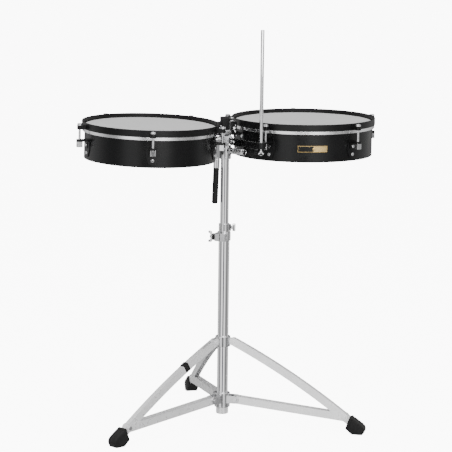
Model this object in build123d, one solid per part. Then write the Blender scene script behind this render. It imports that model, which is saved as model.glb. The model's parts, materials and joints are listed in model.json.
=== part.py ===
from build123d import *
import os
from math import degrees, hypot

# Two shallow drums on one tilting column, on a folding tripod with paired stays (mm).
# +X runs from the 13 inch drum ("left") to the 14 inch drum ("right"), -Y is the
# audience side, +Z is up. Parts are modelled about the column axis with the floor at z = 0.

os.makedirs("parts", exist_ok=True)

# ---------------------------------------------------------------- shared dimensions
INCH = 25.4
SHIFT = (-13.469, -60.222, 0)   # moves the middle of the bounding box to the origin
RUN = 0.05                      # radial clearance of a running fit

R_LEFT, R_RIGHT = 13 * INCH / 2, 14 * INCH / 2   # shell outer radii
X_LEFT, X_RIGHT = -205.4, 219.6                  # drum centres
Z_HOOP = 790.0                  # top of both counter hoops
Z_HEAD = 779.5                  # bearing edge
SHELL_T = 1.5
HOOP_OUT, HOOP_T, HOOP_H = 7.15, 2.3, 17.0       # stand-off from the shell, wall, height
LUG_OUT = 21.0                  # tension bolts stand out from the shell
LUGS = 5

LOWER_R, UPPER_R, TUBE_T = 14.3, 11.1, 1.5       # column tubes
LOWER_Z0, LOWER_Z1 = 32.0, 490.0
UPPER_Z0, UPPER_Z1 = 262.0, 720.0
BUSHING_TOP = 492.5
CLAMP_TOP = 502.0

Z_TILT = 740.0                  # tilt axis, along X through the column axis
TILT_R = 4.0                    # tilt bolt
X_MOUNT, Z_MOUNT = 20.0, 768.0  # drum mounting bolts, either side of the column
PLATE_Y = 2.5                   # half thickness of the cross plate


# ---------------------------------------------------------------- helpers
def save(name, *shapes):
    """Write all solids of the shapes, moved to the shared origin, as one STEP file."""
    solids = [Pos(*SHIFT) * solid for shape in shapes for solid in shape.solids()]
    part = solids[0] if len(solids) == 1 else Compound(children=solids)
    part.label = name
    export_step(part, f"parts/{name}.step")


def facing(origin, direction):
    """Location whose local Z points along direction."""
    return Plane(origin=origin, z_dir=direction).location


def cyl(r, z0, z1):
    return Pos(0, 0, z0) * Cylinder(r, z1 - z0, align=(Align.CENTER, Align.CENTER, Align.MIN))


def rod_x(r, x0, x1, z):
    """Cylinder along X; the ends may come in either order."""
    x0, x1 = sorted((x0, x1))
    return facing((x0, 0, z), (1, 0, 0)) * cyl(r, 0, x1 - x0)


def rod_y(r, y0, y1, x, z):
    """Cylinder along Y; the ends may come in either order."""
    y0, y1 = sorted((y0, y1))
    return facing((x, y1, z), (0, -1, 0)) * cyl(r, 0, y1 - y0)


def box(x0, x1, y0, y1, z0, z1):
    """Box between limits; those in X and in Y may come in either order."""
    middle = Pos((x0 + x1) / 2, (y0 + y1) / 2, (z0 + z1) / 2)
    return middle * Box(abs(x1 - x0), abs(y1 - y0), z1 - z0)


def tube(r_in, r_out, z0, z1):
    return cyl(r_out, z0, z1) - cyl(r_in, z0 - 1, z1 + 1)


def hexagon(across_flats, z0, z1):
    outline = RegularPolygon(across_flats / 2, 6, major_radius=False)
    return extrude(Pos(0, 0, z0) * outline, z1 - z0)


def polygon(points):
    return make_face(Polyline(*points, close=True))


def turned(points):
    """Closed (radius, height) profile turned about Z."""
    return revolve(polygon([(r, 0, z) for r, z in points]), Axis.Z)


def slab(points, y, depth, both=False):
    """(x, z) outline extruded from y towards -Y, or both ways."""
    plane = Plane(origin=(0, y, 0), x_dir=(1, 0, 0), z_dir=(0, -1, 0))
    return extrude(plane * polygon(points), depth, both=both)


def one(shape):
    """The largest solid of a result."""
    return max(shape.solids(), key=lambda solid: solid.volume)


def soften(shape, edges, radius):
    # guards the fillet: where the kernel refuses the radius the edges stay sharp
    try:
        return fillet(edges, radius)
    except Exception:
        return shape


def round_nose(shape, radius):
    """Round the vertical edges at the +X end."""
    return soften(shape, shape.edges().filter_by(Axis.Z).group_by(Axis.X)[-1], radius)


def round_rims(shape, radius):
    """Round the two largest circular edges."""
    rims = shape.edges().filter_by(GeomType.CIRCLE).sort_by(SortBy.RADIUS)[-2:]
    return soften(shape, rims, radius)


def round_bottom(shape, radius):
    return soften(shape, shape.edges().group_by(Axis.Z)[0], radius)


def round_top(shape, radius):
    return soften(shape, shape.edges().group_by(Axis.Z)[-1], radius)


def stepped(*steps):
    """Coaxial cylinders, each (radius, z0, z1), joined along Z."""
    shape = cyl(*steps[0])
    for step in steps[1:]:
        shape += cyl(*step)
    return one(shape)


def screw(seat, head_r, head_h):
    """Screw from z = 0 with a two-step head on the seat height."""
    rim = seat + head_h
    return stepped((2.0, 0, seat + 0.1), (head_r, seat, rim),
                   (head_r - 1.0, rim, rim + head_h / 2))


def shell_screw(r, z, grip, head_r, head_h):
    """Screw from inside a shell of radius r, out along X through grip mm of bracket."""
    return facing((r - SHELL_T, 0, z), (1, 0, 0)) * screw(SHELL_T + grip, head_r, head_h)


def wing_bolt(shank_r, shank_l, boss_r, boss_l, span, wing_h, thick, lobes=2):
    """Wing bolt along +Z: shank below z = 0, boss above, wings on the boss."""
    bolt = cyl(boss_r, 0, boss_l) + cyl(shank_r, -shank_l, 0)
    tip = boss_l + wing_h
    outline = [(0, 1.0), (boss_r, 1.0), (span, boss_l * 0.45), (span, tip),
               (span * 0.62, tip), (0, boss_l - 0.5)]
    lobe = Rot(90, 0, 0) * extrude(polygon(outline), thick / 2, both=True)
    outer = lobe.edges().filter_by(Axis.Y).group_by(Axis.X)[-1]
    lobe = soften(lobe, outer, min(2.5, wing_h * 0.4))
    for k in range(lobes):
        bolt += Rot(0, 0, 360.0 / lobes * k) * lobe
    return one(bolt)


# ---------------------------------------------------------------- drums
# shield plate of a lug: (across, height from the lug datum)
SHIELD = [(-16, -46), (-13, -41), (13, -41), (16, -46), (16, -66),
          (9, -83), (0, -86), (-9, -83), (-16, -66)]
BOLT_R, BOLT_HOLE_R = 3.0, 3.2
SCREW_HOLE_R = 2.1
EAR_TOP = Z_HOOP - 6            # top of the hoop ears


def drum_shell(r, z0):
    """Shell with a bevelled bearing edge and an inward flange at the bottom."""
    inner, flange = r - SHELL_T, r - 10
    return turned([(r, z0), (r, Z_HEAD - 3.5), (r - 3.5, Z_HEAD), (r - 5.0, Z_HEAD),
                   (inner, Z_HEAD - 4.1), (inner, z0 + SHELL_T),
                   (flange, z0 + SHELL_T), (flange, z0)])


def counter_hoop(r, spins):
    outer = r + HOOP_OUT
    inner = outer - HOOP_T
    z0 = Z_HOOP - HOOP_H
    hoop = turned([(inner, Z_HOOP - 0.6), (inner + 0.6, Z_HOOP), (outer - 0.6, Z_HOOP),
                   (outer, Z_HOOP - 0.6), (outer, z0), (r + 1.6, z0),
                   (r + 1.6, z0 + 2.0), (inner, z0 + 2.0)])
    bolt_x = r + LUG_OUT
    ear = round_nose(box(outer - 1.2, bolt_x + 6.5, -7, 7, Z_HOOP - 16, EAR_TOP), 5.0)
    ear -= Pos(bolt_x, 0, 0) * cyl(BOLT_HOLE_R, Z_HOOP - 17, Z_HOOP + 3)
    for spin in spins:
        hoop += spin * ear
    return one(hoop)


def drum_head(r):
    """Flat film turned down over the bearing edge."""
    z0 = Z_HOOP - 24.5
    return turned([(0, Z_HEAD), (r - 2.2, Z_HEAD), (r + 0.5, Z_HEAD - 2.7), (r + 0.5, z0),
                   (r + 1.0, z0), (r + 1.0, Z_HEAD - 2.5), (r - 2.0, Z_HEAD + 0.5),
                   (0, Z_HEAD + 0.5)])


def flesh_hoop(r):
    z0, z1 = Z_HOOP - 25.0, Z_HOOP - HOOP_H
    return turned([(r + 1.0, z0), (r + 5.0, z0), (r + 5.4, z0 + 0.4),
                   (r + 5.4, z1 - 0.4), (r + 5.0, z1), (r + 1.0, z1)])


def lug(r, z):
    """Bracket at +X with its datum at z; also its screw holes and screws."""
    bolt_x = r + LUG_OUT
    root = r + 0.8               # shelf and web start inside the shield
    plate_t, web_t = 2.2, 3.4
    plane = Plane(origin=(r - 4, 0, z), x_dir=(0, 1, 0), z_dir=(1, 0, 0))
    shield = extrude(plane * polygon(SHIELD), 12)
    shield = shield & tube(r, r + plate_t, z - 90, z - 38)
    shelf = round_nose(box(root, bolt_x + 7.5, -8, 8, z - 46.5, z - 41), 5.0)
    shelf = round_top(shelf, 0.8)
    shelf -= cyl(root, z - 50, z - 36)
    web = box(root, r + web_t, -8, 8, z - 63, z - 41) - cyl(root, z - 70, z - 30)
    bracket = shield + shelf + web
    bracket -= Pos(bolt_x, 0, 0) * cyl(BOLT_HOLE_R, z - 50, z - 36)
    holes, screws = [], []
    for screw_z, grip in ((z - 55, web_t), (z - 75, plate_t)):
        hole = rod_x(SCREW_HOLE_R, r - 6, r + 14, screw_z)
        bracket -= hole
        holes.append(hole)
        screws.append(shell_screw(r, screw_z, grip, head_r=4.2, head_h=1.4))
    return one(bracket), holes, screws


def tension_bolt(z):
    """Bolt on its own axis, from the lug nut up to a round head with a hex socket."""
    bolt = stepped((BOLT_R, z - 61, EAR_TOP), (7.2, EAR_TOP, Z_HOOP - 5),
                   (6.6, Z_HOOP - 5, Z_HOOP - 1.8), (5.2, Z_HOOP - 1.8, Z_HOOP - 1))
    return one(bolt - hexagon(5.0, Z_HOOP - 3.6, Z_HOOP + 1.4))


def tension_nut(z):
    nut = box(-6.6, 6.6, -6.6, 6.6, z - 60.5, z - 46.5)
    nut = soften(nut, nut.edges().filter_by(Axis.Z), 1.4)
    return nut - cyl(BOLT_R, z - 74, z - 40)


def mount_bracket(x, r, lean):
    """Bracket for a drum on the -X side of the column, with its shell holes and screws."""
    centre = -abs(x)
    shell_x = centre + r
    plate = tube(r, r + 3.0, 704, 756) & box(r - 10, r + 6, -24, 24, 704, 756)
    plate = Pos(centre, 0, 0) * plate
    # web running inward under the hoop and up in front of the cross plate
    arm = slab([(shell_x + 1.5, 734), (shell_x + 3.2, 734), (shell_x + 4.6, 750.5),
                (-16, 750.5), (-13, 753.5), (-13, 782), (-16, 785), (-26, 785),
                (-29.2, 782), (-29.2, 761.5), (shell_x + 1.5, 755)],
               y=-PLATE_Y - 0.1, depth=5.0)
    arm -= Pos(centre, 0, 0) * cyl(r + 1.0, 600, 800)
    bracket = lean * plate + arm
    bracket -= rod_y(BOLT_HOLE_R, -25, 5, -X_MOUNT, Z_MOUNT)
    holes, screws = [], []
    for across in (-16.0, 16.0):     # measured round the shell
        spot = lean * Pos(centre, 0, 0) * Rot(0, 0, degrees(across / r))
        for z in (711.0, 749.0):
            holes.append(spot * rod_x(SCREW_HOLE_R, r - 6, r + 14, z))
            screws.append(spot * shell_screw(r, z, grip=3.0, head_r=4.6, head_h=1.6))
    for hole in holes:
        bracket -= hole
    return bracket, holes, screws


# the left drum and its bracket plate lean together about a point on the bracket
LEFT_LEAN = Pos(-38, 0, 745) * Rot(0.9, 1.0, 0) * Pos(38, 0, -745)
# side, centre x, shell radius, shell bottom, lug datum, first lug angle, lean
DRUMS = [
    ("left", X_LEFT, R_LEFT, 697.0, Z_HOOP, -110.0, LEFT_LEAN),
    ("right", X_RIGHT, R_RIGHT, 694.2, Z_HOOP - 3.6, 0.0, Pos(0, 0, 0)),
]

tension_nuts, lug_screws, bracket_screws = [], [], []
for side, x, r, shell_z, lug_z, first_lug, lean in DRUMS:
    place = lean * Pos(x, 0, 0)
    spins = [Rot(0, 0, first_lug + 360.0 / LUGS * k) for k in range(LUGS)]
    at_bolt = Pos(r + LUG_OUT, 0, 0)
    lug_bracket, lug_holes, screws = lug(r, lug_z)
    bracket, mount_holes, mount_screws = mount_bracket(x, r, lean)
    if side == "right":
        # mirrored, not turned, so the arm stays on the -Y face of the cross plate
        bracket = mirror(bracket, Plane.YZ)
        mount_holes = [mirror(hole, Plane.YZ) for hole in mount_holes]
        mount_screws = [mirror(item, Plane.YZ) for item in mount_screws]
    shell = drum_shell(r, shell_z)
    for spin in spins:
        for hole in lug_holes:
            shell -= spin * hole
    shell = place * shell
    for hole in mount_holes:
        shell -= hole
    bolt, nut = tension_bolt(lug_z), tension_nut(lug_z)
    save("shell_" + side, one(shell))
    save("hoop_" + side, place * counter_hoop(r, spins))
    save("head_" + side, place * drum_head(r))
    save("flesh_hoop_" + side, place * flesh_hoop(r))
    save("lug_brackets_" + side, *[place * spin * lug_bracket for spin in spins])
    save("tension_bolts_" + side, *[place * spin * at_bolt * bolt for spin in spins])
    save("mount_bracket_" + side, one(bracket))
    tension_nuts += [place * spin * at_bolt * nut for spin in spins]
    lug_screws += [place * spin * item for spin in spins for item in screws]
    bracket_screws += mount_screws
save("tension_nuts", *tension_nuts)
save("lug_screws", *lug_screws)
save("bracket_screws", *bracket_screws)

# badge: a plain plate curved round the shell of the right drum
badge = tube(R_RIGHT, R_RIGHT + 0.9, 720.0, 736.4)
badge = badge & box(R_RIGHT - 12, R_RIGHT + 4, -37.5, 37.5, 700, 760)
save("badge", Pos(X_RIGHT, 0, 0) * Rot(0, 0, -108.0) * one(badge))

# ---------------------------------------------------------------- column
save("lower_tube", tube(LOWER_R - TUBE_T, LOWER_R, LOWER_Z0, LOWER_Z1))
save("upper_tube", tube(UPPER_R - TUBE_T, UPPER_R, UPPER_Z0, UPPER_Z1))
save("clamp_bushing", tube(UPPER_R + RUN, LOWER_R - TUBE_T, 458, LOWER_Z1)
     + tube(UPPER_R + RUN, LOWER_R, LOWER_Z1, BUSHING_TOP))

end_cap = cyl(16.0, 25, 43) - cyl(LOWER_R, LOWER_Z0, LOWER_Z0 + 20)
end_cap = round_bottom(end_cap, 2.5)
end_cap -= Rot(0, 0, -114.0) * rod_x(1.6, 14.6, 18.6, 33.5)    # small dimple in the side
save("tube_end_cap", end_cap)

# height clamp: split collar with two thick ears, washer and wing bolt
to_ears = Rot(0, 0, 223.7)
at_clamp_bolt = to_ears * facing((22.5, 0, 491), (0, -1, 0))
EAR_Y = 15.0                    # outer faces of the ears
WASHER_T = 5.5
clamp_bore = UPPER_R + 0.6
clamp = tube(LOWER_R, 17.0, 480, CLAMP_TOP)
clamp += to_ears * round_nose(box(10, 31, -EAR_Y, EAR_Y, 481, 501), 3.0)
clamp += tube(clamp_bore, LOWER_R, BUSHING_TOP, CLAMP_TOP)
clamp -= cyl(LOWER_R, BUSHING_TOP - 20, BUSHING_TOP)
clamp -= cyl(clamp_bore, 470, 530)
clamp -= to_ears * box(8, 40, -1, 1, 470, 510)
clamp -= at_clamp_bolt * cyl(3.1, -30, 30)
clamp -= at_clamp_bolt * cyl(6.0, -EAR_Y, -EAR_Y + 1.2)
save("height_clamp", one(clamp))
save("clamp_washer", at_clamp_bolt * tube(3.1, 9.0, EAR_Y, EAR_Y + WASHER_T))
height_bolt = wing_bolt(shank_r=3.0, shank_l=33.0, boss_r=5.6, boss_l=9.0,
                        span=15.0, wing_h=5.0, thick=3.2)
save("height_wing_bolt",
     at_clamp_bolt * Rot(0, 0, 90) * Pos(0, 0, EAR_Y + WASHER_T) * height_bolt)

# memory lock: split collar resting on the height clamp
LOCK_AZ, LOCK_Z = -24.0, 513.2
lock = tube(UPPER_R, 14.2, CLAMP_TOP, 523)
lock += Rot(0, 0, LOCK_AZ) * box(11, 18, -6.5, 6.5, 505, 521)
lock -= cyl(UPPER_R, 490, 530)
lock -= Rot(0, 0, LOCK_AZ) * rod_x(3.1, 0, 40, LOCK_Z)
lock -= Rot(0, 0, LOCK_AZ + 180) * box(9, 20, -0.8, 0.8, 490, 530)
save("memory_lock", one(lock))
lock_bolt = wing_bolt(shank_r=3.0, shank_l=7.0, boss_r=4.6, boss_l=5.0,
                      span=10.0, wing_h=6.0, thick=3.4)
save("memory_lock_bolt",
     Rot(0, 0, LOCK_AZ) * facing((0, 0, LOCK_Z), (1, 0, 0)) * Pos(0, 0, 18.2) * lock_bolt)

# ---------------------------------------------------------------- tripod
# pivots in the plane of one leg: (radius from the column axis, height)
LEG_TOP = (29.0, 217.0)         # leg on the collar
STAY_FOOT = (37.0, 65.0)        # stay on the sliding hub
JOINT = (326.0, 41.8)           # leg on stay
AZIMUTHS = {"right": -40.1, "rear": 79.9, "left": 199.9}
LEG_W, LEG_H, LEG_T = 14.0, 20.0, 1.6
LEG_BOW = 8.0                   # rise of the leg's arc between its pivots
STAY_H, STAY_T, STAY_IN = 20.0, 2.5, 7.7
HUB_EAR_IN, HUB_EAR_T = 10.4, 2.6
LUG_Y, LUG_R = 5.2, 8.5         # collar lug: half width, end radius
PIN_R = 3.0

spins = [Rot(0, 0, azimuth) for azimuth in AZIMUTHS.values()]

collar = round_rims(tube(LOWER_R, 19.5, 203, 230), 1.5)
collar_lug = box(16, LEG_TOP[0], -LUG_Y, LUG_Y, LEG_TOP[1] - LUG_R, LEG_TOP[1] + LUG_R)
collar_lug += rod_y(LUG_R, -LUG_Y, LUG_Y, *LEG_TOP)
for spin in spins:
    collar += spin * collar_lug
collar -= cyl(LOWER_R, 190, 250)
collar_pins = [spin * rod_y(PIN_R, -LUG_Y, LUG_Y, *LEG_TOP) for spin in spins]
for pin in collar_pins:
    collar -= pin
save("leg_collar", one(collar))
save("collar_pins", *collar_pins)

hub = round_rims(tube(LOWER_R + RUN, 20.0, 43, 81), 1.5)
hub_pins = []
for spin in spins:
    for s in (-1, 1):
        y_in, y_out = s * HUB_EAR_IN, s * (HUB_EAR_IN + HUB_EAR_T)
        ear = box(12, STAY_FOOT[0], y_in, y_out, STAY_FOOT[1] - 10, STAY_FOOT[1] + 10)
        ear += rod_y(10, y_in, y_out, *STAY_FOOT)
        ear -= rod_y(PIN_R, y_in, y_out, *STAY_FOOT)
        hub += spin * ear
        pin = rod_y(PIN_R, s * STAY_IN, y_out, *STAY_FOOT)
        pin += rod_y(4.6, y_out, y_out + s * 1.6, *STAY_FOOT)
        hub_pins.append(spin * one(pin))
hub -= cyl(LOWER_R + RUN, 30, 110)
save("stay_hub", one(hub))
save("hub_pins", *hub_pins)


def link(start, end):
    """Frame at start with X towards end and Z on the upper side, and the length."""
    dx, dz = end[0] - start[0], end[1] - start[1]
    plane = Plane(origin=(start[0], 0, start[1]), x_dir=(dx, 0, dz), z_dir=(-dz, 0, dx))
    return plane.location, hypot(dx, dz)


to_leg, LEG = link(LEG_TOP, JOINT)
to_stay, STAY = link(STAY_FOOT, JOINT)
LEG_END = LEG + 47.0
# the leg's centre line is one shallow arc through both pivots
ARC_R = (LEG / 2) ** 2 / (2 * LEG_BOW) + LEG_BOW / 2
ARC_IN, ARC_OUT = ARC_R - LEG_H / 2, ARC_R + LEG_H / 2
HALF_W = LEG_W / 2
RIVET_HEAD = 1.8


def band(r0, r1, half, x0, x1):
    """Piece of the leg's arc between two radii, in the leg's frame."""
    at_arc = facing((LEG / 2, 0, LEG_BOW - ARC_R), (0, -1, 0))
    disc = cyl(r1, -half, half) - cyl(r0, -half, half)
    return (at_arc * disc) & box(x0, x1, -half, half, -60, 60)


def tripod_leg():
    """Arched channel open below, forked at the top, with rivet heads on the fork."""
    inside = HALF_W - LEG_T
    leg = band(ARC_IN, ARC_OUT, HALF_W, 0, LEG_END)
    leg += rod_y(LEG_H / 2, -HALF_W, HALF_W, 0, 0)
    leg -= band(ARC_IN - 8, ARC_OUT - LEG_T, inside, 4, LEG_END + 5)
    leg -= box(-20, 43, -inside, inside, -30, 30)
    leg -= rod_y(PIN_R + 0.1, -HALF_W, HALF_W, 0, 0)
    leg -= rod_y(PIN_R + RUN, -20, 20, LEG, 0)
    leg = one(leg)
    for s in (-1, 1):
        leg += rod_y(4.6, s * HALF_W, s * (HALF_W + RIVET_HEAD), 0, 0)
    return to_leg * one(leg)


def stay_strip(s):
    y_in, y_out = s * STAY_IN, s * (STAY_IN + STAY_T)
    strip = box(0, STAY, y_in, y_out, -STAY_H / 2, STAY_H / 2)
    for x in (0, STAY):
        strip += rod_y(STAY_H / 2, y_in, y_out, x, 0)
    strip -= rod_y(PIN_R + RUN, y_in, y_out, 0, 0)
    strip -= rod_y(PIN_R, y_in, y_out, STAY, 0)
    return to_stay * one(strip)


def joint_rivet():
    y = STAY_IN + STAY_T
    rivet = rod_y(PIN_R, -y, y, STAY, 0)
    for s in (-1, 1):
        rivet += rod_y(5.2, s * y, s * (y + RIVET_HEAD), STAY, 0)
    return to_stay * one(rivet)


def rubber_foot():
    """Deep block along the leg end with a flat sole on the floor."""
    side = [(LEG + 12, 11.8), (LEG + 47, 9.6), (LEG + 57, 6.4),
            (LEG + 62.5, 0.0), (LEG + 63.0, -30), (LEG + 17, -22)]
    foot = to_leg * slab(side, y=0, depth=15, both=True)
    foot -= box(-600, 600, -600, 600, -80, 0)
    foot -= to_leg * band(ARC_IN, ARC_OUT, HALF_W, LEG, LEG_END)
    return one(foot)


def leg_bumper():
    """Sleeve round a third of the way down the leg."""
    x = 0.33 * LEG
    sleeve = band(ARC_IN, ARC_OUT + 2.6, HALF_W + 0.6, x - 8, x + 8)
    sleeve = to_leg * (sleeve - band(ARC_IN - 1, ARC_OUT, HALF_W, x - 20, x + 20))
    return one(sleeve)


leg, rivet, foot = tripod_leg(), joint_rivet(), rubber_foot()
strips = [stay_strip(s) for s in (-1, 1)]
for name, spin in zip(AZIMUTHS, spins):
    save("leg_" + name, spin * leg)
    save("stay_" + name, *[spin * strip for strip in strips])
    save("rivet_" + name, spin * rivet)
    save("foot_" + name, spin * foot)
save("leg_bumper", Rot(0, 0, AZIMUTHS["left"]) * leg_bumper())

# ---------------------------------------------------------------- tilter
at_knob = facing((0, 0, 712.0), (0.4592, -0.8883, 0))
CHEEK_IN, CHEEK_OUT = 6.2, 12.4

POST = (37.0, -137.0)           # cowbell post axis
POST_R = 4.75
ARM_SCREWS = (27.5, 36.0)       # along the arm from the column axis
# frame of the cowbell arm: X from the column axis towards the post
to_arm = Plane(origin=(0, 0, 737.0), x_dir=(*POST, 0), z_dir=(0, 0, 1)).location

socket = round_bottom(cyl(15.5, 690, 724), 1.5)
socket += box(-6, 6, -12, 12, 722, Z_TILT) + rod_x(12, -6, 6, Z_TILT)
socket += at_knob * cyl(9.0, 0, 20)
socket -= cyl(UPPER_R, UPPER_Z1 - 40, UPPER_Z1)
socket -= rod_x(TILT_R + RUN, -20, 20, Z_TILT)
socket -= at_knob * cyl(3.1, 0, 30)
save("tilter_socket", one(socket))
save("socket_lock_knob", at_knob * stepped(
    (3.0, 11.15, 26.15), (7.0, 20.4, 25.4), (8.0, 25, 58), (7.4, 58, 59.2), (8.4, 59, 64)))


def cheek(s):
    x_in, x_out = s * CHEEK_IN, s * CHEEK_OUT
    return (rod_x(13.0, x_in, x_out, Z_TILT) + box(x_in, x_out, -9, 9, Z_TILT, 758)
            + box(x_in, x_out, -19, 0, 731, 749))


# tilter head: two cheeks, bridges above and in front, cross plate, tab for the arm
head = cheek(-1) + cheek(1)
head += box(-CHEEK_OUT, CHEEK_OUT, -9, 9, 753, 762)
head += box(-CHEEK_OUT, CHEEK_OUT, -19, -13.6, 731, 749)
head += slab([(-29, 757), (-25, 753), (25, 753), (29, 757),
              (29, 782), (25, 786), (-25, 786), (-29, 782)], y=PLATE_Y, depth=2 * PLATE_Y)
head += to_arm * box(17, 41, 1, 6, -7, 7)
head -= rod_x(TILT_R + 0.1, -20, 20, Z_TILT)
for x in (-X_MOUNT, X_MOUNT):
    head -= rod_y(3.1, -25, 5, x, Z_MOUNT)
for x in ARM_SCREWS:
    head -= to_arm * rod_y(SCREW_HOLE_R, -10, 20, x, 0)
save("tilter_head", one(head))

# tilt clamp bolt with its nut, handle and rubber grip
tilt_bolt = rod_x(TILT_R, -32, 21, Z_TILT) + rod_x(6.4, -34, -32, Z_TILT)
tilt_nut = facing((12.5, 0, Z_TILT), (1, 0, 0)) * (hexagon(13.0, 0, 6.5) - cyl(TILT_R, -5, 25))
save("tilt_bolt", one(tilt_bolt), one(tilt_nut))
to_lever = Pos(-21.0, 0, Z_TILT) * Rot(0, 2.2, 0)      # leans a little outwards
lever_core = cyl(4.0, -152, -70)
handle = rod_x(8.5, -32, -12.6, Z_TILT)
handle += to_lever * (box(-4, 4, -5.5, 5.5, -50, 0) + cyl(8.2, -72, -50)
                      + lever_core + cyl(6.4, -50, -46))
handle -= rod_x(TILT_R, -40, 20, Z_TILT)
save("tilt_handle", one(handle))
save("handle_grip", to_lever * (round_bottom(cyl(7.9, -164, -72), 3.0) - lever_core))

# cap over the cross plate, and the screw beside it
cap = box(-12.4, 8.6, -8.5, 8.5, 765, 798)
cap = soften(cap, cap.edges().filter_by(Axis.Z), 2.0)
cap = cap - box(-40, 40, -PLATE_Y, PLATE_Y, 740, 786)
save("tilter_cap", one(round_top(cap, 1.5)))
top_screw = cyl(7.6, 786, 787.8) + hexagon(12.0, 787.8, 793.8) + cyl(5.0, 793.8, 795.6)
save("top_screw", one(Pos(16.6, 0, 0) * top_screw))

# mount wing bolts through the drum brackets and the cross plate, nuts at the back
mount_bolt = wing_bolt(shank_r=3.0, shank_l=17.5, boss_r=5.6, boss_l=8.0,
                       span=10.4, wing_h=4.0, thick=3.0)
mount_nut = hexagon(10.0, 0, 5) - cyl(3.0, -5, 15)
mount_nuts = []
for side, x in (("left", -X_MOUNT), ("right", X_MOUNT)):
    save("mount_wing_bolt_" + side,
         facing((x, -7.6, Z_MOUNT), (0, -1, 0)) * Rot(0, 0, 90) * mount_bolt)
    mount_nuts.append(facing((x, PLATE_Y, Z_MOUNT), (0, 1, 0)) * mount_nut)
save("mount_nuts", *mount_nuts)

# ---------------------------------------------------------------- cowbell arm and post
at_post = Pos(*POST, 0)
at_post_bolt = facing((*POST, 723.5), (-0.407, -0.9134, 0))

arm = to_arm * box(22.4, hypot(*POST) - 9.0, -3.5, 1.0, -9, 8.7)
for x in ARM_SCREWS:
    arm -= to_arm * rod_y(SCREW_HOLE_R, -10, 20, x, 0)
arm -= at_post * cyl(11.0, 700, 760)
save("cowbell_arm", one(arm))
save("arm_screws", *[to_arm * facing((x, 6, 0), (0, -1, 0)) * screw(9.5, 3.8, 1.6)
                     for x in ARM_SCREWS])

post_clamp = at_post * cyl(11.0, 731, 747)
post_clamp = soften(post_clamp, post_clamp.edges().filter_by(GeomType.CIRCLE), 1.2)
post_clamp += at_post * cyl(8.2, 715.5, 731.5)
post_clamp += at_post_bolt * cyl(5.6, 0, 11)
post_clamp -= at_post * cyl(POST_R + RUN, 690, 770)
post_clamp -= at_post_bolt * cyl(2.6, 0, 30)
save("post_clamp", one(post_clamp))
post_bolt = wing_bolt(shank_r=2.5, shank_l=6.4, boss_r=4.4, boss_l=6.5,
                      span=8.2, wing_h=1.5, thick=3.0, lobes=3)
save("post_wing_bolt", at_post_bolt * Pos(0, 0, 11.4) * post_bolt)

# post with a fine setting groove just above its clamp
post = at_post * (cyl(POST_R, 714, 1027) - tube(POST_R - 0.4, POST_R + 1, 748, 749))
post = soften(post, post.edges().filter_by(GeomType.CIRCLE).group_by(Axis.Z)[-1], 0.8)
save("cowbell_post", post)
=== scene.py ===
# A pair of drums on a tripod stand. The CAD pieces get their finishes, and the skins, rubber
# parts, knob, wing bolts, badge and cap are rebuilt in detail.
# Row frame: X runs along the row of drums with the smaller drum at -X, Z is up from the floor,
# and the camera stands on the -Y side. Sizes are millimetres from the column axis on the floor.
import bpy, bmesh, json, math
from mathutils import Vector, Matrix


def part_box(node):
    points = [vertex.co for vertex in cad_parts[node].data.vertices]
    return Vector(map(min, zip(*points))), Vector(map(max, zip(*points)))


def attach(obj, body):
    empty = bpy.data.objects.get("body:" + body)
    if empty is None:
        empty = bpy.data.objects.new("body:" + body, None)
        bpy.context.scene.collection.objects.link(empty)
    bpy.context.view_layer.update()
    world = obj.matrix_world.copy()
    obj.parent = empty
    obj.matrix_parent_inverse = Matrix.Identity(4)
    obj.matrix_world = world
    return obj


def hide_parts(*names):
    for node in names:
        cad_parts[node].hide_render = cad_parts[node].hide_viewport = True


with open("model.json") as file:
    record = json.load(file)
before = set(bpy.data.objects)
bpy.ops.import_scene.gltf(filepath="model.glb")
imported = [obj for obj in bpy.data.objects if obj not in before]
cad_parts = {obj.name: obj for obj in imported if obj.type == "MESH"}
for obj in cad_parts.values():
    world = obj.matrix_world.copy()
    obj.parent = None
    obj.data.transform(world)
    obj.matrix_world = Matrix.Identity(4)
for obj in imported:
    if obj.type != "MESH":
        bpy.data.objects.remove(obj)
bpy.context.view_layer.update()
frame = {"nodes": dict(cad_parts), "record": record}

RECORD = frame["record"]
NODE_BODY = {node: body for body, nodes in RECORD["behaviour"]["bodies"].items() for node in nodes}
MILLI = 0.001
UP = Vector((0, 0, 1))
tube_low, tube_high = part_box("lower_tube")
COLUMN_X = (tube_low.x + tube_high.x) / 2
COLUMN_Y = (tube_low.y + tube_high.y) / 2

SMALL_X, LARGE_X = -205.4, 219.6        # drum centres
SMALL_R, LARGE_R = 165.1, 177.8         # shell radii
VIEW_TURN = math.radians(24.0)          # the row is turned this far to the view


def place(x, y, z):
    """Millimetres from the column axis on the floor to metres in the row frame."""
    return Vector((COLUMN_X + x * MILLI, COLUMN_Y + y * MILLI, z * MILLI))


def basis(origin, axis, upright=False):
    """Matrix with local Z on a horizontal axis; local X is vertical if upright, else level."""
    axis = Vector(axis).normalized()
    side = UP if upright else UP.cross(axis).normalized()
    matrix = Matrix((side, axis.cross(side), axis)).transposed().to_4x4()
    matrix.translation = origin
    return matrix


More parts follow.
